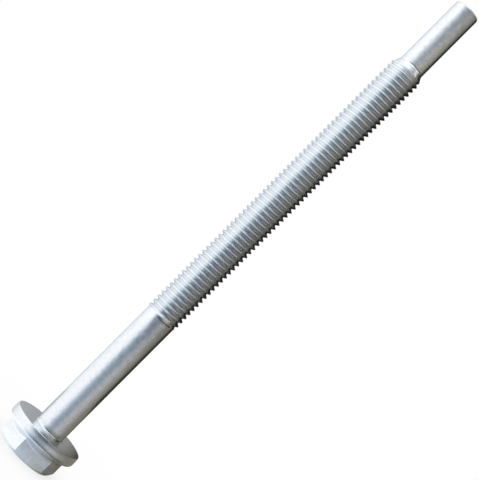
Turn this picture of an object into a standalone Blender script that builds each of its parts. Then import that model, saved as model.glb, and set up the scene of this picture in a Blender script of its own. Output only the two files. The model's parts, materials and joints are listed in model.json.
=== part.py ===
"""Long hex flange bolt: plain shank, rolled right-hand metric thread and a plain pilot point.

The bolt stands on the flat top of its head, with its axis on +Z and its tip at the top.
Lengths are in metres. Heights named FROM_BEARING are measured from the flange's bearing face
towards the tip.
"""

import math

import bmesh
import bpy

# Head: forged hexagon on a cone-topped flange
HEAD_HEIGHT = 0.0089
ACROSS_FLATS = 0.016
HEX_CORNER_ROUNDING = 0.0002
CHAMFER_CIRCLE_INSIDE_FLATS = 0.0003
CHAMFER_ANGLE = math.radians(30)
FLANGE_DIAMETER = 0.0216
FLANGE_RIM_HEIGHT = 0.0019
FLANGE_CONE_ANGLE = math.radians(31)
RIM_ROUNDING_BELOW = 0.0004
RIM_ROUNDING_ABOVE = 0.0011

# Shank: left at the diameter of the blank that the thread is rolled on
SHANK_DIAMETER = 0.00898
SHANK_FILLET = 0.0006

# Rolled thread, one start, right hand. The shank's surface is its pitch line, so half of its
# height stands proud of the shank and half is pressed in.
PITCH = 0.0015
CREST_FLAT = 0.00018
ROOT_FLAT = 0.00025
HALF_FLANK_ANGLE = math.radians(30)
THREAD_START_FROM_BEARING = 0.0403
THREAD_LENGTH = 0.0918
CREST_RUN_IN = 0.002
GROOVE_RUN_IN = 0.002
GROOVE_RUN_OUT = 0.0009
THREAD_END_ANGLE = math.radians(30)
THREAD_TURN = math.radians(168.7)

# Point: a cone down to a long plain pilot
BLANK_END_UNDER_SHANK = 0.00013
PILOT_CONE_LENGTH = 0.0017
PILOT_DIAMETER = 0.00745
PILOT_LENGTH = 0.0212
PILOT_END_ROUNDING = 0.0005

# Hidden laps between the solids that are joined, all inside the metal
CORE_UNDER_ROOT = 0.00005
ENVELOPE_OVER_CREST = 0.00004
INNER_LAP = 0.0004
CONE_IN_HEXAGON = 0.0015

# Facets
BODY_SEGMENTS = 40
THREAD_SEGMENTS = 18
FILLET_STEPS = 3

STEEL_COLOR = (0.62, 0.64, 0.66, 1.0)
STEEL_ROUGHNESS = 0.35
WELD_DISTANCE = 0.00001
SHARP_EDGE_ANGLE = math.radians(30)

BEARING_Z = HEAD_HEIGHT
THREAD_START_Z = BEARING_Z + THREAD_START_FROM_BEARING
THREAD_END_Z = THREAD_START_Z + THREAD_LENGTH
PILOT_START_Z = THREAD_END_Z + PILOT_CONE_LENGTH
TIP_Z = PILOT_START_Z + PILOT_LENGTH
SHANK_RADIUS = SHANK_DIAMETER / 2
CREST_RADIUS = SHANK_RADIUS + (PITCH / 2 - CREST_FLAT) / 2 / math.tan(HALF_FLANK_ANGLE)
ROOT_RADIUS = SHANK_RADIUS - (PITCH / 2 - ROOT_FLAT) / 2 / math.tan(HALF_FLANK_ANGLE)
BLANK_END_RADIUS = SHANK_RADIUS - BLANK_END_UNDER_SHANK
CORE_RADIUS = ROOT_RADIUS * math.cos(math.pi / THREAD_SEGMENTS) - CORE_UNDER_ROOT
ENVELOPE_RADIUS = (CREST_RADIUS + ENVELOPE_OVER_CREST) / math.cos(math.pi / BODY_SEGMENTS)


def clear_scene():
    """Removes every object that the open file holds."""
    for obj in list(bpy.data.objects):
        bpy.data.objects.remove(obj, do_unlink=True)


def new_collection(name):
    collection = bpy.data.collections.new(name)
    bpy.context.scene.collection.children.link(collection)
    return collection


def zinc_plated_steel():
    material = bpy.data.materials.new("zinc_plated_steel")
    material.use_nodes = True
    shader = material.node_tree.nodes["Principled BSDF"]
    shader.inputs["Base Color"].default_value = STEEL_COLOR
    shader.inputs["Metallic"].default_value = 1.0
    shader.inputs["Roughness"].default_value = STEEL_ROUGHNESS
    return material


def arc(center, radius, start, end, steps=FILLET_STEPS):
    """Points of a round from angle start to angle end, as (radius, height) pairs."""
    points = []
    for i in range(steps + 1):
        angle = start + (end - start) * i / steps
        points.append((center[0] + radius * math.cos(angle), center[1] + radius * math.sin(angle)))
    return points


def profile_object(name, points, collection):
    """An open line of (radius, height) points at +X, which a Screw modifier turns."""
    mesh = bpy.data.meshes.new(name)
    edges = [(i, i + 1) for i in range(len(points) - 1)]
    mesh.from_pydata([(r, 0.0, z) for r, z in points], edges, [])
    obj = bpy.data.objects.new(name, mesh)
    collection.objects.link(obj)
    return obj


def turned(name, points, collection, segments=BODY_SEGMENTS):
    """A solid of revolution about Z from a profile that runs from its top to its bottom."""
    obj = profile_object(name, points, collection)
    screw = obj.modifiers.new("Turn", "SCREW")
    screw.steps = segments
    screw.render_steps = segments
    screw.use_merge_vertices = True
    screw.merge_threshold = WELD_DISTANCE
    return obj


def as_helper(obj):
    """Marks a solid that only adds to or cuts another."""
    obj.hide_render = True
    obj.display_type = "WIRE"
    return obj


def combine(obj, other, operation):
    boolean = obj.modifiers.new(f"{operation.title()} {other.name}", "BOOLEAN")
    boolean.operation = operation
    boolean.solver = "EXACT"
    boolean.object = other


def flange_profile():
    """The flange's outer side, from the bearing face down to the cone that enters the hexagon."""
    rim = FLANGE_DIAMETER / 2
    below = arc((rim - RIM_ROUNDING_BELOW, BEARING_Z - RIM_ROUNDING_BELOW), RIM_ROUNDING_BELOW,
                math.pi / 2, 0)
    cone_normal = -(math.pi / 2 - FLANGE_CONE_ANGLE)
    above = arc((rim - RIM_ROUNDING_ABOVE, BEARING_Z - FLANGE_RIM_HEIGHT), RIM_ROUNDING_ABOVE,
                0, cone_normal)
    inner = ACROSS_FLATS / 2 - CONE_IN_HEXAGON
    last_r, last_z = above[-1]
    cone_end = (inner, last_z - (last_r - inner) * math.tan(FLANGE_CONE_ANGLE))
    return below + above + [cone_end, (0.0, cone_end[1])]


def blank(collection):
    """Pilot, core of the thread, shank and flange, turned in one piece."""
    pilot = PILOT_DIAMETER / 2
    tip = arc((pilot - PILOT_END_ROUNDING, TIP_Z - PILOT_END_ROUNDING), PILOT_END_ROUNDING,
              math.pi / 2, 0)
    core = [
        (pilot, PILOT_START_Z),
        (BLANK_END_RADIUS, THREAD_END_Z),
        (CORE_RADIUS, THREAD_END_Z - GROOVE_RUN_OUT),
        (CORE_RADIUS, THREAD_START_Z + GROOVE_RUN_IN),
        (SHANK_RADIUS, THREAD_START_Z),
    ]
    fillet = arc((SHANK_RADIUS + SHANK_FILLET, BEARING_Z + SHANK_FILLET), SHANK_FILLET, math.pi,
                 3 * math.pi / 2)
    points = [(0.0, TIP_Z)] + tip + core + fillet + flange_profile()
    return turned("bolt", points, collection)


def hexagon(helpers):
    """The hexagon, standing on its flat top, with the chamfer that a turned cone leaves.

    Its flats face +Y, -Y and the four directions between, and two of its corners lie on the X axis.
    """
    radius = ACROSS_FLATS / math.sqrt(3)
    height = BEARING_Z - FLANGE_RIM_HEIGHT
    bpy.ops.mesh.primitive_cylinder_add(vertices=6, radius=radius, depth=height,
                                        location=(0.0, 0.0, height / 2), rotation=(0.0, 0.0, math.pi / 6))
    obj = bpy.context.object
    obj.name = "hexagon"
    for owner in list(obj.users_collection):
        owner.objects.unlink(obj)
    helpers.objects.link(obj)
    weights = obj.data.attributes.new("bevel_weight_edge", "FLOAT", "EDGE")
    for edge in obj.data.edges:
        low, high = (obj.data.vertices[i].co.z for i in edge.vertices)
        weights.data[edge.index].value = 0.0 if low == high else 1.0
    bevel = obj.modifiers.new("Corner rounding", "BEVEL")
    bevel.limit_method = "WEIGHT"
    bevel.width = HEX_CORNER_ROUNDING
    bevel.segments = 2
    flat = ACROSS_FLATS / 2 - CHAMFER_CIRCLE_INSIDE_FLATS
    outside = radius + INNER_LAP
    cone_top = (outside - flat) * math.tan(CHAMFER_ANGLE)
    chamfer = turned("chamfer_cone", [(0.0, height + INNER_LAP), (outside, height + INNER_LAP),
                                      (outside, cone_top), (flat, 0.0), (0.0, 0.0)], helpers)
    as_helper(chamfer)
    combine(obj, chamfer, "INTERSECT")
    return as_helper(obj)


def thread_profile():
    """One pitch of the thread, from root to root over the crest, as (radius, height) pairs."""
    ridge_middle = (PITCH - ROOT_FLAT) / 2
    return [
        (ROOT_RADIUS, PITCH),
        (ROOT_RADIUS, PITCH - ROOT_FLAT),
        (CREST_RADIUS, ridge_middle + CREST_FLAT / 2),
        (CREST_RADIUS, ridge_middle - CREST_FLAT / 2),
        (ROOT_RADIUS, 0.0),
    ]


def middle_height(edge):
    return (edge.verts[0].co.z + edge.verts[1].co.z) / 2


def threaded_rod(bottom, top, helpers):
    """A rod threaded from below bottom to above top, closed at both ends by a fan to its axis."""
    turns = math.ceil((top - bottom) / PITCH) + 1
    bm = bmesh.new()
    verts = [bm.verts.new((r, 0.0, z)) for r, z in thread_profile()]
    for first, second in zip(verts, verts[1:]):
        bm.edges.new((first, second))
    rise = PITCH / THREAD_SEGMENTS
    bmesh.ops.spin(bm, geom=bm.verts[:] + bm.edges[:], cent=(0.0, 0.0, 0.0), axis=(0.0, 0.0, 1.0),
                   dvec=(0.0, 0.0, rise), angle=2 * math.pi * turns, steps=THREAD_SEGMENTS * turns)
    bmesh.ops.remove_doubles(bm, verts=bm.verts[:], dist=WELD_DISTANCE)
    length = (turns + 1) * PITCH
    open_edges = [edge for edge in bm.edges if edge.is_boundary]
    for upper in (False, True):
        rim = [edge for edge in open_edges if (middle_height(edge) > length / 2) == upper]
        made = bmesh.ops.extrude_edge_only(bm, edges=rim)["geom"]
        corners = [item for item in made if isinstance(item, bmesh.types.BMVert)]
        height = length - PITCH / 2 if upper else PITCH / 2
        bmesh.ops.pointmerge(bm, verts=corners, merge_co=(0.0, 0.0, height))
    bmesh.ops.recalc_face_normals(bm, faces=bm.faces[:])
    mesh = bpy.data.meshes.new("threaded_rod")
    bm.to_mesh(mesh)
    bm.free()
    rod = bpy.data.objects.new("threaded_rod", mesh)
    rod.location.z = bottom - PITCH
    first_crest = rod.location.z + (PITCH - ROOT_FLAT) / 2
    rise_to_start = THREAD_START_Z - first_crest
    rod.rotation_euler.z = THREAD_TURN - 2 * math.pi * rise_to_start / PITCH
    helpers.objects.link(rod)
    return as_helper(rod)


def thread_envelope(helpers):
    """What bounds the crests: they rise out of the shank, and end on a cone at the point.

    Returns the solid with its lowest and highest height.
    """
    run_in_slope = (CREST_RADIUS - SHANK_RADIUS) / CREST_RUN_IN
    end_slope = math.tan(THREAD_END_ANGLE)
    pilot_inner = PILOT_DIAMETER / 2 - INNER_LAP
    bottom = THREAD_START_Z - INNER_LAP / run_in_slope
    full_start = THREAD_START_Z + (ENVELOPE_RADIUS - SHANK_RADIUS) / run_in_slope
    full_end = THREAD_END_Z - (ENVELOPE_RADIUS - BLANK_END_RADIUS) / end_slope
    top = THREAD_END_Z + (BLANK_END_RADIUS - pilot_inner) / end_slope
    envelope = turned("thread_envelope", [
        (0.0, top),
        (pilot_inner, top),
        (ENVELOPE_RADIUS, full_end),
        (ENVELOPE_RADIUS, full_start),
        (SHANK_RADIUS - INNER_LAP, bottom),
        (0.0, bottom),
    ], helpers)
    return as_helper(envelope), bottom, top


def build():
    clear_scene()
    parts = new_collection("flange_bolt")
    helpers = new_collection("helpers")
    bolt = blank(parts)
    combine(bolt, hexagon(helpers), "UNION")
    envelope, bottom, top = thread_envelope(helpers)
    rod = threaded_rod(bottom, top, helpers)
    combine(rod, envelope, "INTERSECT")
    combine(bolt, rod, "UNION")
    bolt.data.materials.append(zinc_plated_steel())
    bolt.data.shade_smooth()
    bolt.data.set_sharp_from_angle(angle=SHARP_EDGE_ANGLE)


build()
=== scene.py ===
# Zinc plated hex flange bolt: its worked-out surface, its finish, and a plain white studio.
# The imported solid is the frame. Lengths in the dictionaries are in millimetres, angles in degrees.

import json
import math

import bpy
import numpy as np
from mathutils import Matrix, Vector


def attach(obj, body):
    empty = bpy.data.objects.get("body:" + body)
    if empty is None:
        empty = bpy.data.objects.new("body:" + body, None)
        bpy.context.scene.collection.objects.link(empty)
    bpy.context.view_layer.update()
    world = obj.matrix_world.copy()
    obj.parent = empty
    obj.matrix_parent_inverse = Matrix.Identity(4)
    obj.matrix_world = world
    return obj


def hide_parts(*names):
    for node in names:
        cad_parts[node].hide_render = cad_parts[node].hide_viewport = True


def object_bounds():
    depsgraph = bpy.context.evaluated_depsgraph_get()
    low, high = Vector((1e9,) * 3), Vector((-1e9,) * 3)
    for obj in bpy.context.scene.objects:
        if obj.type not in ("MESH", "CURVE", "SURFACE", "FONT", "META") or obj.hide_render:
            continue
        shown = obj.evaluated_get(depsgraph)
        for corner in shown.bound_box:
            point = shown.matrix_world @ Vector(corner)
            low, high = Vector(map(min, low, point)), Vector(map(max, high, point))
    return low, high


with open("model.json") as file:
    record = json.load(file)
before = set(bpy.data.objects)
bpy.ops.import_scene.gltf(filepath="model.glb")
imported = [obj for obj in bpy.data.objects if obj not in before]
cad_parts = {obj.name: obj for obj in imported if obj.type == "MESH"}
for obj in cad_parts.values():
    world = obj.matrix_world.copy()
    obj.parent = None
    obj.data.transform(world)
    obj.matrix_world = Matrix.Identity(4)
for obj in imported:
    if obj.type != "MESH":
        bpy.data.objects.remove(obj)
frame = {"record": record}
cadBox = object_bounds()
mounts = {mount["name"]: mount for mount in frame["record"]["mounts"]}
mm = 0.001
print("frame loaded")


# Read from the frame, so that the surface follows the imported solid
packed = {
    "bearingZ": mounts["bearing_face"]["pos_m"][2] / mm,
    "tipZ": cadBox[1].z / mm,
    "flangeRadius": cadBox[1].x / mm,
    "acrossFlats": 2 * abs(mounts["spanner_flat_front"]["pos_m"][1]) / mm,
}

# The bolt without its thread. It stands on its head, so heights grow from the head to the tip.
boltForm = {
    "chamferCircleInsideFlats": 0.3,
    "chamferAngle": 30.0,
    "chamferSoftness": 0.3,
    "hexCornerRadius": 0.25,
    "hexEdgeSoftness": 0.3,        # rounding where the chamfer meets the flats
    "hexFootFillet": 1.0,
    "flangeConeAngle": 31.0,
    "rimHeight": 2.85,             # from the bearing face to where the cone's line meets the rim's
    "rimLeanAtCone": 3.0,          # the rim is a low barrel: its two halves lean in towards the cone
    "rimLeanAtBearing": 6.0,       # and the bearing face, and meet in a wide rounding
    "rimBarrelRounding": 9.0,
    "rimRoundingAtCone": 1.0,
    "rimRoundingAtBearing": 0.2,
    "shankRadius": 4.49,
    "shankFillet": 0.6,
    "pilotRadius": 3.725,
    "pilotLength": 21.2,
    "pilotConeFillet": 1.6,
    "pilotEndRounding": 0.5,
    "columnsPerFlat": 18,
    "cornerColumns": (0.0, 0.39, 0.78, 1.1),    # degrees from a corner to the columns of its rounding
    "columnPower": 0.85,           # below 1 the other columns lie closer towards a flat's middle
    "roundingSteps": 5,
    "cutShare": 0.45,              # a rounding takes no more than this share of the sides beside it
    "supportGap": 0.05,            # a row this close to each rounding keeps the flat beside it flat
    "coneRows": 5,                 # rows between the roundings, along the flange's cone,
    "shankRows": 8,                # the shank
    "pilotRows": 6,                # and the pilot
    "innerRing": 2.0,              # radius of the innermost ring of points on both end faces
}

# The rolled thread, one start, right hand
threadForm = {
    "pitch": 1.5,
    "startFromBearing": 40.3,
    "length": 91.8,
    "crestFlat": 0.14,
    "rootFlat": 0.18,
    "flankAngle": 30.0,
    "crestSoftness": 0.55,
    "rootSoftness": 0.35,
    "crestTurn": 168.7,            # direction in which a crest passes the thread's start
    "crestRunInDelay": 0.85,       # the crests rise from this far after the thread's start,
    "crestRunIn": 0.5,             # over this length
    "grooveRunInAt": (0.65, 1.3, 1.9),    # distances after the start, and the share of their depth
    "grooveRunInShare": (0, 0.17, 1),     # that the grooves have there
    "grooveRunOut": 5.0,           # over this length the last grooves rise
    "grooveEndUnderShank": 0.18,   # to this much under the shank's surface
    "endAngle": 29.5,              # of the cone that cuts the crests down to the pilot
    "crestEndSoftness": 0.25,      # rounding where the crests rise from the shank and end on the cone
    "grooveEndSoftness": 0.06,     # and where the grooves leave the shank and end on the cone
    "plainBefore": 0.6,            # the thread's rows go on this far before its start
    "plainAfter": 0.8,             # and after its end, each time to a flat ring
    "ringSnap": 0.02,              # points this near to a flat ring join it
    "rowPhases": (0.0, 0.08, 0.17, 0.27, 0.40, 0.57),    # from a crest's middle to its rows, both ways
}


def softMin(a, b, reach):
    # the lower of a and b, less reach/4 * h^2, where h falls from 1 at a = b to 0 at |a - b| = reach
    h = np.clip(1 - np.abs(a - b) / reach, 0, None)
    return np.minimum(a, b) - reach / 4 * h * h


def softMax(a, b, reach):
    # the same for the higher of the two
    return -softMin(-a, -b, reach)


def hexRadius(theta, form, flats):
    # apothem / cos(angle from the flat's middle), and at a corner the outer arc of a small circle:
    # r = d cos(p) + sqrt(c^2 - d^2 sin^2(p)), p the angle from the corner, d its centre's distance
    apothem = flats / 2
    corner = form["hexCornerRadius"]
    sector = math.pi / 3
    fromCorner = (theta + sector / 2) % sector - sector / 2
    flat = apothem / np.cos(np.abs(fromCorner) - sector / 2)
    centre = (apothem - corner) / math.cos(sector / 2)
    under = np.clip(corner**2 - (centre * np.sin(fromCorner)) ** 2, 0, None)
    arc = centre * np.cos(fromCorner) + np.sqrt(under)
    tangent = math.atan2(corner * math.sin(sector / 2), centre + corner * math.cos(sector / 2))
    return np.where(np.abs(fromCorner) < tangent, arc, flat)


def hexColumns(form):
    # directions of the columns: the given ones beside each corner, and from the last of them to the
    # flat's middle the angle times a power of the column's share of the way
    sector = 60
    near = np.array(form["cornerColumns"])
    share = np.linspace(0, 1, form["columnsPerFlat"] // 2 - len(near) + 2)[1:]
    side = np.concatenate([near, near[-1] + (sector / 2 - near[-1]) * share ** form["columnPower"]])
    both = np.concatenate([side, sector - side[1:-1][::-1]])
    return np.radians((np.arange(6)[:, None] * sector + both[None]).ravel())


def roundedProfile(corners, radii, form):
    # each column's line of (radius, height) corners, with every inner corner replaced by a curve
    # (1-k)^2 A + 2k(1-k) C + k^2 B between the tangent points A and B, C the corner itself
    rows = [corners[0]]
    for i in range(1, len(corners) - 1):
        corner = corners[i]
        back = corners[i - 1] - corner
        ahead = corners[i + 1] - corner
        backLength = np.linalg.norm(back, axis=0)
        aheadLength = np.linalg.norm(ahead, axis=0)
        back = back / backLength
        ahead = ahead / aheadLength
        opening = np.arccos(np.clip((back * ahead).sum(axis=0), -1, 1))
        cut = radii[i] / np.tan(opening / 2)
        cut = np.minimum(cut, form["cutShare"] * np.minimum(backLength, aheadLength))
        start = corner + back * cut
        end = corner + ahead * cut
        rows.append(start + back * form["supportGap"])
        for k in np.linspace(0, 1, form["roundingSteps"] + 1):
            rows.append((1 - k) ** 2 * start + 2 * k * (1 - k) * corner + k * k * end)
        rows.append(end + ahead * form["supportGap"])
    rows.append(corners[-1])
    return rows


def rowsPerRounding(form):
    # the curve's own rows, and a support row on either side
    return form["roundingSteps"] + 3


def between(first, last, count):
    # rows at even steps between two rows, each a straight-line mix of them
    return [first * (1 - k) + last * k for k in np.linspace(0, 1, count + 2)[1:-1]]


def headRows(form, thread, flats, columns, evenColumns):
    # a profile for each column, from the head's flat top over the chamfer, the hexagon, the flange's
    # cone and rim and the bearing face to the shank. Down the cone the columns spread out evenly.
    hexRadii = hexRadius(columns, form, flats)
    ones = np.ones_like(columns)
    flange = packed["flangeRadius"]
    bearing = packed["bearingZ"]
    chamferStart = flats / 2 - form["chamferCircleInsideFlats"]
    chamferRise = math.tan(math.radians(form["chamferAngle"]))
    coneRise = math.tan(math.radians(form["flangeConeAngle"]))
    halfRim = form["rimHeight"] / 2
    rimZ = bearing - form["rimHeight"]
    rimAtCone = flange - halfRim * math.tan(math.radians(form["rimLeanAtCone"]))
    rimAtBearing = flange - halfRim * math.tan(math.radians(form["rimLeanAtBearing"]))
    shankEnd = bearing + thread["startFromBearing"] - thread["plainBefore"]
    corners = [
        (form["innerRing"] * ones, 0 * ones),
        (chamferStart * ones, 0 * ones),
        (hexRadii, (hexRadii - chamferStart) * chamferRise),
        (hexRadii, rimZ - (rimAtCone - hexRadii) * coneRise),
        (rimAtCone * ones, rimZ * ones),
        (flange * ones, (bearing - halfRim) * ones),
        (rimAtBearing * ones, bearing * ones),
        (form["shankRadius"] * ones, bearing * ones),
        (form["shankRadius"] * ones, shankEnd * ones),
    ]
    radii = [0, form["chamferSoftness"], form["hexEdgeSoftness"], form["hexFootFillet"],
             form["rimRoundingAtCone"], form["rimBarrelRounding"], form["rimRoundingAtBearing"],
             form["shankFillet"], 0]
    rows = roundedProfile([np.array(corner) for corner in corners], radii, form)
    coneStart = 3 * rowsPerRounding(form) + 1      # the hexagon's foot is the third rounding
    hexagon = [np.array([*row, columns]) for row in rows[:coneStart]]
    turned = [np.array([*row, evenColumns]) for row in rows[coneStart:]]
    cone = between(hexagon[-1], turned[0], form["coneRows"])
    shank = between(turned[-2], turned[-1], form["shankRows"])
    return hexagon + cone + turned[:-1] + shank + turned[-1:]


def threadSpan(thread):
    # heights of the thread's start and end, and of the flat rings before and after it
    start = packed["bearingZ"] + thread["startFromBearing"]
    end = start + thread["length"]
    return start, end, start - thread["plainBefore"], end + thread["plainAfter"]


def threadRadius(z, phase, form, thread):
    # crest, flank and root by the distance from the crest's middle. The crests stay under a line
    # that rises out of the shank and a cone that falls to the pilot, and the grooves over a blank
    # that falls from the shank to the root after the start and rises again before the end.
    start, end, _, _ = threadSpan(thread)
    shank = form["shankRadius"]
    pitch = thread["pitch"]
    steep = 1 / math.tan(math.radians(thread["flankAngle"]))
    crest = shank + (pitch / 2 - thread["crestFlat"]) / 2 * steep
    root = shank - (pitch / 2 - thread["rootFlat"]) / 2 * steep
    grooveEnd = shank - thread["grooveEndUnderShank"]
    flank = crest - (np.abs(phase) - thread["crestFlat"] / 2) * steep
    ridge = softMax(softMin(flank, crest, thread["crestSoftness"]), root, thread["rootSoftness"])
    rising = shank + (z - start - thread["crestRunInDelay"]) * (crest - shank) / thread["crestRunIn"]
    coneFoot = packed["tipZ"] - form["pilotLength"]
    falling = form["pilotRadius"] + (coneFoot - z) * math.tan(math.radians(thread["endAngle"]))
    ridge = softMin(ridge, np.minimum(rising, falling), thread["crestEndSoftness"])
    depthIn = np.interp(z - start, thread["grooveRunInAt"], thread["grooveRunInShare"])
    blankIn = shank - depthIn * (shank - root)
    blankOut = grooveEnd - (end - z) * (grooveEnd - root) / thread["grooveRunOut"]
    blank = np.maximum(blankIn, np.minimum(blankOut, grooveEnd))
    return np.minimum(softMax(ridge, blank, thread["grooveEndSoftness"]), falling)


def threadRows(form, thread, evenColumns):
    # rows that climb one pitch a turn, z = row + pitch * turn / 360, cut off by the two flat rings.
    # A row's phase is its distance from the nearest crest's middle.
    pitch = thread["pitch"]
    start, _, low, high = threadSpan(thread)
    near = np.array(thread["rowPhases"])
    phases = np.concatenate([near, [pitch / 2], pitch - near[1:][::-1]])
    spare = 1                      # turns of rows more at either end, because the rows climb
    crestAtZero = start - pitch * thread["crestTurn"] / 360
    first = crestAtZero + pitch * (math.floor((low - crestAtZero) / pitch) - spare)
    turns = math.ceil((high - low) / pitch) + 2 * spare + 1
    rowZ = first + (np.arange(turns)[:, None] * pitch + phases[None]).ravel()
    rowPhase = np.tile((phases + pitch / 2) % pitch - pitch / 2, turns)
    z = rowZ[:, None] + pitch * evenColumns[None] / (2 * math.pi)
    isLow = z < low + thread["ringSnap"]
    isHigh = z > high - thread["ringSnap"]
    z = np.clip(z, low, high)
    r = threadRadius(z, np.broadcast_to(rowPhase[:, None], z.shape), form, thread)
    rows = np.stack([r, z, np.broadcast_to(evenColumns, z.shape)], axis=1)
    depth = np.clip((r.max() - r) / (r.max() - r.min()), 0, 1)
    return rows, depth, isLow, isHigh, len(phases)


def tipRows(form, thread, evenColumns):
    # from the ring after the thread down the rest of its cone, along the pilot and over its rounded end
    ones = np.ones_like(evenColumns)
    ringZ = threadSpan(thread)[3]
    ringRadius = threadRadius(np.array(ringZ), np.array(thread["pitch"] / 2), form, thread)
    pilot = form["pilotRadius"]
    tip = packed["tipZ"]
    corners = [
        (ringRadius * ones, ringZ * ones),
        (pilot * ones, (tip - form["pilotLength"]) * ones),
        (pilot * ones, tip * ones),
        (form["innerRing"] * ones, tip * ones),
    ]
    radii = [0, form["pilotConeFillet"], form["pilotEndRounding"], 0]
    rows = roundedProfile([np.array(corner) for corner in corners], radii, form)
    rows = [np.array([*row, evenColumns]) for row in rows]
    pilotStart = rowsPerRounding(form) + 1         # the cone's foot is the first rounding
    along = between(rows[pilotStart - 1], rows[pilotStart], form["pilotRows"])
    return rows[:pilotStart] + along + rows[pilotStart:]


def placed(rows):
    # rows of (radius, height, turn) to points: x = radius cos(turn), y = radius sin(turn), z = height
    r, z, turn = np.array(rows).transpose(1, 0, 2)
    return np.stack([r * np.cos(turn), r * np.sin(turn), z], axis=-1)


def ringFaces(ids):
    # two triangles for each cell of a grid of vertex numbers; cells that are pinched to nothing go
    a = ids[:-1, :-1].ravel()
    b = ids[:-1, 1:].ravel()
    c = ids[1:, 1:].ravel()
    d = ids[1:, :-1].ravel()
    faces = np.concatenate([np.stack([a, b, c], axis=1), np.stack([a, c, d], axis=1)])
    whole = (faces[:, 0] != faces[:, 1]) & (faces[:, 1] != faces[:, 2]) & (faces[:, 0] != faces[:, 2])
    return faces[whole]


def closedColumns(ids):
    # the first column again after the last, which closes a ring
    return np.concatenate([ids, ids[:, :1]], axis=1)


def boltSurface(form, thread):
    # one closed surface of three grids, head, thread and tip, with a pole on each end face. The
    # thread's points beyond a flat ring are the ring's own, and where its last column meets the
    # first, a row goes on as the one a pitch higher.
    count = 6 * form["columnsPerFlat"]
    columns = hexColumns(form)
    evenColumns = np.arange(count) * 2 * math.pi / count
    head = placed(headRows(form, thread, packed["acrossFlats"], columns, evenColumns))
    rows, depth, isLow, isHigh, rowsPerPitch = threadRows(form, thread, evenColumns)
    middle = placed(rows)
    tip = placed(tipRows(form, thread, evenColumns))

    poles = np.array([[0, 0, 0], [0, 0, packed["tipZ"]]])
    parts = [poles[:1], head.reshape(-1, 3), tip.reshape(-1, 3), middle.reshape(-1, 3), poles[1:]]
    everything = np.concatenate(parts)
    valley = np.zeros(len(everything))
    valley[-1 - depth.size:-1] = depth.ravel()
    starts = np.cumsum([len(part) for part in parts])
    headIds, tipIds, middleIds = [np.arange(starts[i], starts[i + 1]).reshape(-1, count) for i in range(3)]
    middleIds = np.where(isLow, headIds[-1], np.where(isHigh, tipIds[0], middleIds))
    higher = np.full((len(middleIds), 1), tipIds[0, 0])
    higher[:-rowsPerPitch, 0] = middleIds[rowsPerPitch:, 0]
    firstPole = np.zeros((1, count), int)
    lastPole = np.full((1, count), len(everything) - 1)
    faces = np.concatenate([
        ringFaces(closedColumns(np.concatenate([firstPole, headIds]))),
        ringFaces(np.concatenate([middleIds, higher], axis=1)),
        ringFaces(closedColumns(np.concatenate([tipIds, lastPole]))),
    ])
    kept, renumbered = np.unique(faces, return_inverse=True)
    return everything[kept] * mm, renumbered.reshape(-1, 3), valley[kept]


def meshObject(name, points, faces):
    mesh = bpy.data.meshes.new(name)
    mesh.from_pydata(points.tolist(), [], faces.tolist())
    mesh.validate()
    mesh.shade_smooth()
    obj = bpy.data.objects.new(name, mesh)
    bpy.context.scene.collection.objects.link(obj)
    return obj


points, faces, valley = boltSurface(boltForm, threadForm)
bolt = meshObject("platedBolt", points, faces)
bolt.data.attributes.new("valley", "FLOAT", "POINT").data.foreach_set("value", valley.astype(np.float32))
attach(bolt, "root")
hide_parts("bolt")
print("bolt surface:", len(faces), "triangles")


def linear(hexColor):
    # sRGB hex to the linear colour that shaders take
    channels = [int(hexColor[i:i + 2], 16) / 255 for i in (1, 3, 5)]
    return tuple(c / 12.92 if c <= 0.04045 else ((c + 0.055) / 1.055) ** 2.4 for c in channels) + (1.0,)


def addNode(tree, kind, settings, inputs):
    # one node with its own settings, and for each input a value or the socket that feeds it
    node = tree.nodes.new(kind)
    for name, value in settings.items():
        setattr(node, name, value)
    for name, value in inputs.items():
        if isinstance(value, bpy.types.NodeSocket):
            tree.links.new(value, node.inputs[name])
        else:
            node.inputs[name].default_value = value
    return node


# Clear zinc plating over forged and rolled steel: a satin, slightly blue white metal. It mirrors
# softly, and its crystals and the drawn blank under it leave a faint mottle and waves.
zincFinish = {
    "pale": "#F4F7FA",
    "dull": "#D8DDE2",
    "roughness": 0.22,
    "roughnessSpread": 0.05,
    "rootTone": "#D6DEE5",         # darker deep in the thread's roots
    "rootFrom": 0.7,               # share of the thread's depth where this begins
    "rolledSmoothness": 0.13,      # how much less rough than the blank the bottoms of the grooves are
    "mottleSize": 0.9,             # patches of zinc crystals, drawn coarser than the real 0.1, to show
    "mottleDetail": 3.0,
    "mottleRoughness": 0.6,
    "waveSize": 2.4,               # waves that drawing and forging leave, a little longer along the axis
    "waveStretch": 0.7,
    "waveDepth": 0.05,
    "grainSize": 0.35,             # the plating's grain, drawn coarser than the real 0.05, to show
    "grainDepth": 0.0012,
    "bumpDetail": 1.0,
}


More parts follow.
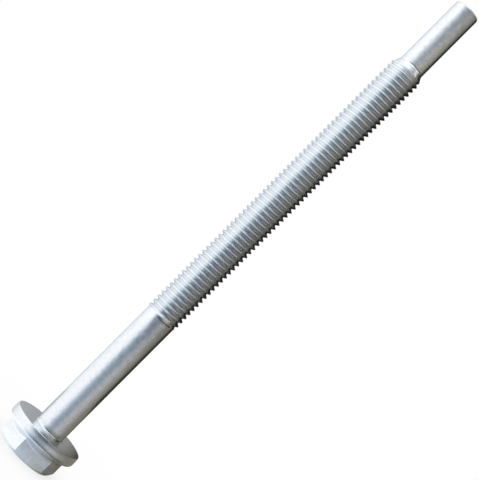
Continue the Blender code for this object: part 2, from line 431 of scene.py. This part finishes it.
def zincPlatedSteel(finish):
    material = bpy.data.materials.new("zincPlatedSteelSatin")
    material.use_nodes = True
    tree = material.node_tree
    shader = tree.nodes["Principled BSDF"]
    shader.inputs["Metallic"].default_value = 1.0
    place = addNode(tree, "ShaderNodeTexCoord", {}, {}).outputs["Object"]
    along = addNode(tree, "ShaderNodeMapping", {},
                    {"Vector": place, "Scale": (1.0, 1.0, finish["waveStretch"])}).outputs["Vector"]
    mottle = addNode(tree, "ShaderNodeTexNoise", {},
                     {"Vector": place, "Scale": 1 / (finish["mottleSize"] * mm),
                      "Detail": finish["mottleDetail"], "Roughness": finish["mottleRoughness"]})

    # a Mix node of colours takes them at its inputs 6 and 7, and gives the mix at its output 2
    tone = addNode(tree, "ShaderNodeMix", {"data_type": "RGBA"},
                   {"Factor": mottle.outputs["Fac"], 6: linear(finish["pale"]), 7: linear(finish["dull"])})
    valley = addNode(tree, "ShaderNodeAttribute", {"attribute_name": "valley"}, {}).outputs["Fac"]
    inRoot = addNode(tree, "ShaderNodeMapRange", {}, {"Value": valley, "From Min": finish["rootFrom"]})
    darkerInRoots = addNode(tree, "ShaderNodeMix", {"data_type": "RGBA"},
                   {"Factor": inRoot.outputs["Result"], 6: tone.outputs[2], 7: linear(finish["rootTone"])})
    tree.links.new(darkerInRoots.outputs[2], shader.inputs["Base Color"])

    # roughness goes with the mottle, and falls by the depth in the thread
    gloss = addNode(tree, "ShaderNodeMapRange", {},
                    {"Value": mottle.outputs["Fac"],
                     "To Min": finish["roughness"] - finish["roughnessSpread"],
                     "To Max": finish["roughness"] + finish["roughnessSpread"]})
    rolled = addNode(tree, "ShaderNodeMath", {"operation": "MULTIPLY_ADD"},
                     {0: valley, 1: -finish["rolledSmoothness"], 2: gloss.outputs["Result"]})
    tree.links.new(rolled.outputs[0], shader.inputs["Roughness"])

    wave = addNode(tree, "ShaderNodeTexNoise", {},
                   {"Vector": along, "Scale": 1 / (finish["waveSize"] * mm),
                    "Detail": finish["bumpDetail"]})
    waveBump = addNode(tree, "ShaderNodeBump", {},
                       {"Height": wave.outputs["Fac"], "Distance": finish["waveDepth"] * mm,
                        "Strength": 1.0})
    grain = addNode(tree, "ShaderNodeTexNoise", {},
                    {"Vector": place, "Scale": 1 / (finish["grainSize"] * mm),
                     "Detail": finish["bumpDetail"]})
    grainBump = addNode(tree, "ShaderNodeBump", {},
                        {"Height": grain.outputs["Fac"], "Distance": finish["grainDepth"] * mm,
                         "Normal": waveBump.outputs["Normal"], "Strength": 1.0})
    tree.links.new(grainBump.outputs["Normal"], shader.inputs["Normal"])
    return material


bolt.data.materials.append(zincPlatedSteel(zincFinish))
print("finish made")


# The camera: where the photograph was taken from
cameraView = {
    "distance": 310.0,             # from the bolt's axis
    "lens": 88.8,
    "sensor": 36.0,
    "direction": -103.7,           # of the camera from the axis, seen from above the tip
    "tilt": 1.1,                   # the tip leans away by this much
    "centreHeight": 78.9,          # height on the bolt at the picture's centre
    "centreAside": 0.13,           # from the axis to the picture's centre
    "roll": 45.03,                 # of the bolt's axis above the picture's horizontal
}


def photoCamera(view):
    # the camera's own axes, right, up and backwards, from its direction, tilt and roll
    data = bpy.data.cameras.new("camera")
    data.lens = view["lens"]
    data.sensor_width = view["sensor"]
    data.clip_start = 0.01
    data.clip_end = 10
    camera = bpy.data.objects.new("camera", data)
    bpy.context.scene.collection.objects.link(camera)
    turn = math.radians(view["direction"] + 180)
    tilt = math.radians(view["tilt"])
    roll = math.radians(view["roll"])
    look = Vector((math.cos(turn) * math.cos(tilt), math.sin(turn) * math.cos(tilt), math.sin(tilt)))
    along = (Vector((0, 0, 1)) - look * math.sin(tilt)).normalized()
    across = look.cross(along)
    right = along * math.cos(roll) + across * math.sin(roll)
    up = along * math.sin(roll) - across * math.cos(roll)
    centre = Vector((0, 0, view["centreHeight"] * mm)) + across * view["centreAside"] * mm
    turned = Matrix((right, up, -look)).transposed().to_4x4()
    camera.matrix_world = Matrix.Translation(centre - look * view["distance"] * mm) @ turned
    bpy.context.scene.camera = camera


photoCamera(cameraView)
print("camera placed")


# The studio is white all round, with a small pale floor and three glowing cards that only reflections
# see. A card's tones are (place, colour) stops. Places are degrees or millimetres aside of the camera's
# direction, negative on the lit side of the bolt and positive on its shaded side.
studio = {
    "cardStrength": 1.6,
    "worldFill": 1.08,             # strength of the world's light; seen or mirrored, it is white, 1
}


def tonesAt(stops, places):
    # straight-line mixes of the linear colours between the stops, one colour for each place
    at = [stop[0] for stop in stops]
    colors = np.array([linear(stop[1]) for stop in stops])
    return np.stack([np.interp(places, at, colors[:, i]) for i in range(4)], axis=-1)


def toneCard(name, points, colors, strength):
    # a grid of points that glows in its points' colours, seen by reflections alone
    ids = np.arange(points.shape[0] * points.shape[1]).reshape(points.shape[:2])
    card = meshObject(name, points.reshape(-1, 3) * mm, ringFaces(ids))
    tone = card.data.attributes.new("tone", "FLOAT_COLOR", "POINT")
    tone.data.foreach_set("color", colors.astype(np.float32).ravel())
    card.visible_camera = False
    card.visible_shadow = False
    card.visible_diffuse = False
    material = bpy.data.materials.new(name + "Glow")
    material.use_nodes = True
    tree = material.node_tree
    tree.nodes.clear()
    color = addNode(tree, "ShaderNodeAttribute", {"attribute_name": "tone"}, {}).outputs["Color"]
    glow = addNode(tree, "ShaderNodeEmission", {}, {"Color": color, "Strength": strength})
    addNode(tree, "ShaderNodeOutputMaterial", {}, {"Surface": glow.outputs["Emission"]})
    card.data.materials.append(material)


# The room is a far ring of rows at these elevations, each in the tones meant for what mirrors it there.
# The shank, the head's flats and the pilot see rows that go from pale on the lit side over blue grey to
# brown grey on the shaded side. The thread's roots and flanks see dark rows, its rounded crests bright
# ones, and the cone at its end duller ones.
room = {
    "radius": 1000.0,
    "middle": 75.0,                # height that the elevations are taken from
    "columns": 181,
    "rows": ((-79, "crests"), (-42, "crests"), (-35, "flanks"), (-25, "flanks"), (-19, "shank"),
             (-7, "shank"), (-4, "roots"), (9, "roots"), (11, "pilot"), (19, "pilot"), (25, "flanks"),
             (35, "flanks"), (42, "crests"), (60, "crests"), (67, "endCone"), (86, "endCone")),
    "shank": ((-180, "#D2D2D2"), (-70, "#DCDADA"), (-47, "#DADADA"), (-36, "#CDD3D8"),
              (-26, "#B5BDC8"), (-16, "#9AA4B0"), (-6, "#8892A0"), (4, "#858C96"), (14, "#898D94"),
              (25, "#949AA0"), (40, "#A0A2A4"), (57, "#9A9896"), (81, "#827E76"), (111, "#69645C"),
              (135, "#69645C"), (180, "#D2D2D2")),
    "pilot": ((-180, "#D6D6D6"), (-70, "#E4E2E0"), (-47, "#DEDEDE"), (-36, "#D7DDE0"),
              (-16, "#B6BEC6"), (-6, "#A2AAB2"), (4, "#999EA2"), (14, "#98999C"), (40, "#A3A19C"),
              (57, "#9D9A94"), (95, "#7F7A71"), (111, "#6D685F"), (135, "#656058"),
              (180, "#D6D6D6")),
    "roots": ((-180, "#DCDEE0"), (-70, "#E8E8E8"), (-47, "#DCE0E4"), (-36, "#A1AEB8"),
              (-26, "#525C66"), (-16, "#20272D"), (-6, "#13191D"), (4, "#161B1F"), (14, "#262A2E"),
              (40, "#464544"), (68, "#423D37"), (90, "#2E2A25"), (111, "#2C2823"), (135, "#5A554A"),
              (180, "#DCDEE0")),
    "flanks": ((-180, "#DCDEE0"), (-60, "#E8E8E8"), (-38, "#96A3AE"), (-24, "#262E34"),
               (-10, "#0E1418"), (4, "#101316"), (14, "#1F2123"), (40, "#353331"), (70, "#332D28"),
               (95, "#25211C"), (135, "#2E2A24"), (180, "#DCDEE0")),
    "crests": ((-180, "#E8E8E8"), (-50, "#E5E9EB"), (-30, "#EAF2F9"), (-12, "#F1F7FC"),
               (0, "#E6EDF2"), (14, "#D4DADF"), (29, "#C0C3C6"), (45, "#B6B5B2"), (62, "#BFBBB3"),
               (80, "#CBC5B9"), (97, "#CBC6BB"), (118, "#FFFFFC"), (135, "#FFFFFC"),
               (180, "#E8E8E8")),
    "endCone": ((-180, "#E8E8E8"), (-60, "#E5E9EB"), (-30, "#CDD5DC"), (-12, "#BAC3CC"),
                (0, "#B4BCC4"), (29, "#A8ABAE"), (45, "#9A9998"), (62, "#8A8781"), (97, "#6F6A62"),
                (135, "#6F6A62"), (180, "#E8E8E8")),
}


def roomCard(form, direction, strength):
    # x = R cos(a), y = R sin(a), z = middle + R tan(elevation), each row in its own tones
    aside = np.linspace(-180, 180, form["columns"])
    elevations = np.radians([row[0] for row in form["rows"]])
    turn, elevation = np.meshgrid(np.radians(direction + aside), elevations)
    radius = form["radius"]
    points = np.stack([radius * np.cos(turn), radius * np.sin(turn),
                       form["middle"] + radius * np.tan(elevation)], axis=-1)
    colors = np.stack([tonesAt(form[row[1]], aside) for row in form["rows"]])
    toneCard("roomCard", points, colors, strength)


# The table is a glowing board close behind the bolt, with light and shadow painted on it: pale on the lit
# side, and a painted shadow where the bolt's own shadow would fall. The wider head throws a wider shadow,
# so there the painted shadow has other tones.
table = {
    "behind": 9.0,
    "halfWidth": 80.0,
    "bottom": -80.0,
    "top": 240.0,
    "columns": 81,
    "rows": 161,
    "tones": ((-80, "#D8DADB"), (-31, "#D5D8DA"), (-15, "#CCCFD3"), (-10, "#B2B7BD"), (-6, "#989DA2"),
              (-2, "#777A7D"), (2, "#585755"), (5, "#2E2B28"), (8, "#0F0E0C"), (14, "#1A1815"),
              (34, "#5B5851"), (80, "#6A6761")),
    "headTones": ((-80, "#D8DADB"), (-31, "#D5D8DA"), (-16, "#B4B6B8"), (-11, "#8C8D8F"),
                  (-4, "#828384"), (2, "#767573"), (5.5, "#777674"), (8, "#5F5E5B"), (9.5, "#4C4A46"),
                  (10.5, "#1C1B18"), (12.5, "#201E1B"), (13.6, "#5F5B54"), (17, "#6E6A61"),
                  (34, "#6A665E"), (80, "#6A6761")),
    "headTonesFrom": 15.0,         # below this height the table has the head's tones alone,
    "headTonesTo": 19.0,           # and above this one none of them
}


def tableCard(form, direction, strength):
    # a flat board with a painted shadow; its tones go by the distance aside, and change smoothly to others
    # beyond the head
    aside = np.linspace(-form["halfWidth"], form["halfWidth"], form["columns"])
    heights = np.linspace(form["bottom"], form["top"], form["rows"])
    u, z = np.meshgrid(aside, heights)
    share = np.clip((form["headTonesTo"] - z) / (form["headTonesTo"] - form["headTonesFrom"]), 0, 1)
    share = (share * share * (3 - 2 * share))[..., None]
    colors = tonesAt(form["tones"], u) * (1 - share) + tonesAt(form["headTones"], u) * share
    turn = math.radians(direction)
    x = -form["behind"] * math.cos(turn) - u * math.sin(turn)
    y = -form["behind"] * math.sin(turn) + u * math.cos(turn)
    toneCard("tableCard", np.stack([x, y, z], axis=-1), colors, strength)


# The bench is a flat glowing ring under the head, for the flange's cone, which faces down, with light and
# shade painted on it
bench = {
    # pale on the lit side, dark on the shaded side, and darker near the head: a painted shade of the head
    "rings": ((1, 0.75), (8.5, 0.75), (12, 1), (20, 1)),    # radius, and share of the tones there
    "under": 0.3,                  # under the top of the head
    "columns": 181,
    "tones": ((-180, "#C8CACC"), (-90, "#E2E4E6"), (-42, "#DEE2E6"), (-30, "#D0D7DE"),
              (-18, "#B6C0CB"), (-4, "#A6B0BC"), (17, "#A2A7AC"), (31, "#919191"), (52, "#706D67"),
              (80, "#5F5C56"), (130, "#5F5C56"), (180, "#C8CACC")),
}


def benchCard(form, direction, strength):
    # x = r cos(a), y = r sin(a), z = -under; its tones go by the angle aside
    aside = np.linspace(-180, 180, form["columns"])
    turn, r = np.meshgrid(np.radians(direction + aside), [ring[0] for ring in form["rings"]])
    points = np.stack([r * np.cos(turn), r * np.sin(turn), 0 * r - form["under"]], axis=-1)
    # the inner rings take a smaller share of the tones, which paints the head's shade on the bench
    colors = np.stack([tonesAt(form["tones"], aside) * ring[1] for ring in form["rings"]])
    toneCard("benchCard", points, colors, strength)


def whiteWorld(fill):
    # pure white to the camera and in mirrors, and a little stronger as light
    world = bpy.data.worlds.new("whiteStudio")
    bpy.context.scene.world = world
    world.use_nodes = True
    tree = world.node_tree
    tree.nodes.clear()
    path = addNode(tree, "ShaderNodeLightPath", {}, {})
    direct = addNode(tree, "ShaderNodeMath", {"operation": "MAXIMUM"},
                     {0: path.outputs["Is Camera Ray"], 1: path.outputs["Is Glossy Ray"]})
    seen = addNode(tree, "ShaderNodeMath", {"operation": "MAXIMUM"},
                   {0: direct.outputs[0], 1: path.outputs["Is Transmission Ray"]})
    strength = addNode(tree, "ShaderNodeMapRange", {},
                       {"Value": seen.outputs[0], "To Min": fill, "To Max": 1.0})
    glow = addNode(tree, "ShaderNodeBackground", {},
                   {"Color": (1, 1, 1, 1), "Strength": strength.outputs["Result"]})
    addNode(tree, "ShaderNodeOutputWorld", {}, {"Surface": glow.outputs["Background"]})


# The floor is part diffuse, for the bolt's shadow, and part glowing, to melt into the white round it
floorForm = {
    "radius": 150.0,
    "sides": 96,
    "under": 0.1,                  # under the top of the head
    "color": "#F6F6F6",
    "glow": 0.7,                   # share of the glow in the middle,
    "glowGrowsFrom": 0.3,          # which grows from this share of the radius to all of it at the rim
}


def whiteFloor(form):
    # a disc, x = R cos(a), y = R sin(a) round a middle point
    sides = form["sides"]
    turns = np.arange(sides) * 2 * math.pi / sides
    rim = np.stack([np.cos(turns), np.sin(turns), 0 * turns], axis=-1) * form["radius"]
    points = np.concatenate([[[0, 0, 0]], rim]) - [[0, 0, form["under"]]]
    ids = np.stack([np.zeros(sides + 1, int), 1 + np.arange(sides + 1) % sides])
    floor = meshObject("floor", points * mm, ringFaces(ids)[:, ::-1])
    floor.visible_glossy = False
    material = bpy.data.materials.new("paleFloor")
    material.use_nodes = True
    tree = material.node_tree
    tree.nodes.clear()
    place = addNode(tree, "ShaderNodeTexCoord", {}, {}).outputs["Object"]
    out = addNode(tree, "ShaderNodeVectorMath", {"operation": "LENGTH"}, {0: place}).outputs["Value"]
    share = addNode(tree, "ShaderNodeMapRange", {"interpolation_type": "SMOOTHSTEP"},
                    {"Value": out, "From Min": form["glowGrowsFrom"] * form["radius"] * mm,
                     "From Max": form["radius"] * mm, "To Min": form["glow"], "To Max": 1.0})
    diffuse = addNode(tree, "ShaderNodeBsdfDiffuse", {}, {"Color": linear(form["color"])})
    glow = addNode(tree, "ShaderNodeEmission", {}, {"Color": (1, 1, 1, 1), "Strength": 1.0})
    both = addNode(tree, "ShaderNodeMixShader", {},
                   {"Fac": share.outputs["Result"], 1: diffuse.outputs[0], 2: glow.outputs[0]})
    addNode(tree, "ShaderNodeOutputMaterial", {}, {"Surface": both.outputs[0]})
    floor.data.materials.append(material)


roomCard(room, cameraView["direction"], studio["cardStrength"])
tableCard(table, cameraView["direction"], studio["cardStrength"])
benchCard(bench, cameraView["direction"], studio["cardStrength"])
whiteWorld(studio["worldFill"])
whiteFloor(floorForm)
bpy.context.scene.view_settings.view_transform = "Standard"
print("studio made")
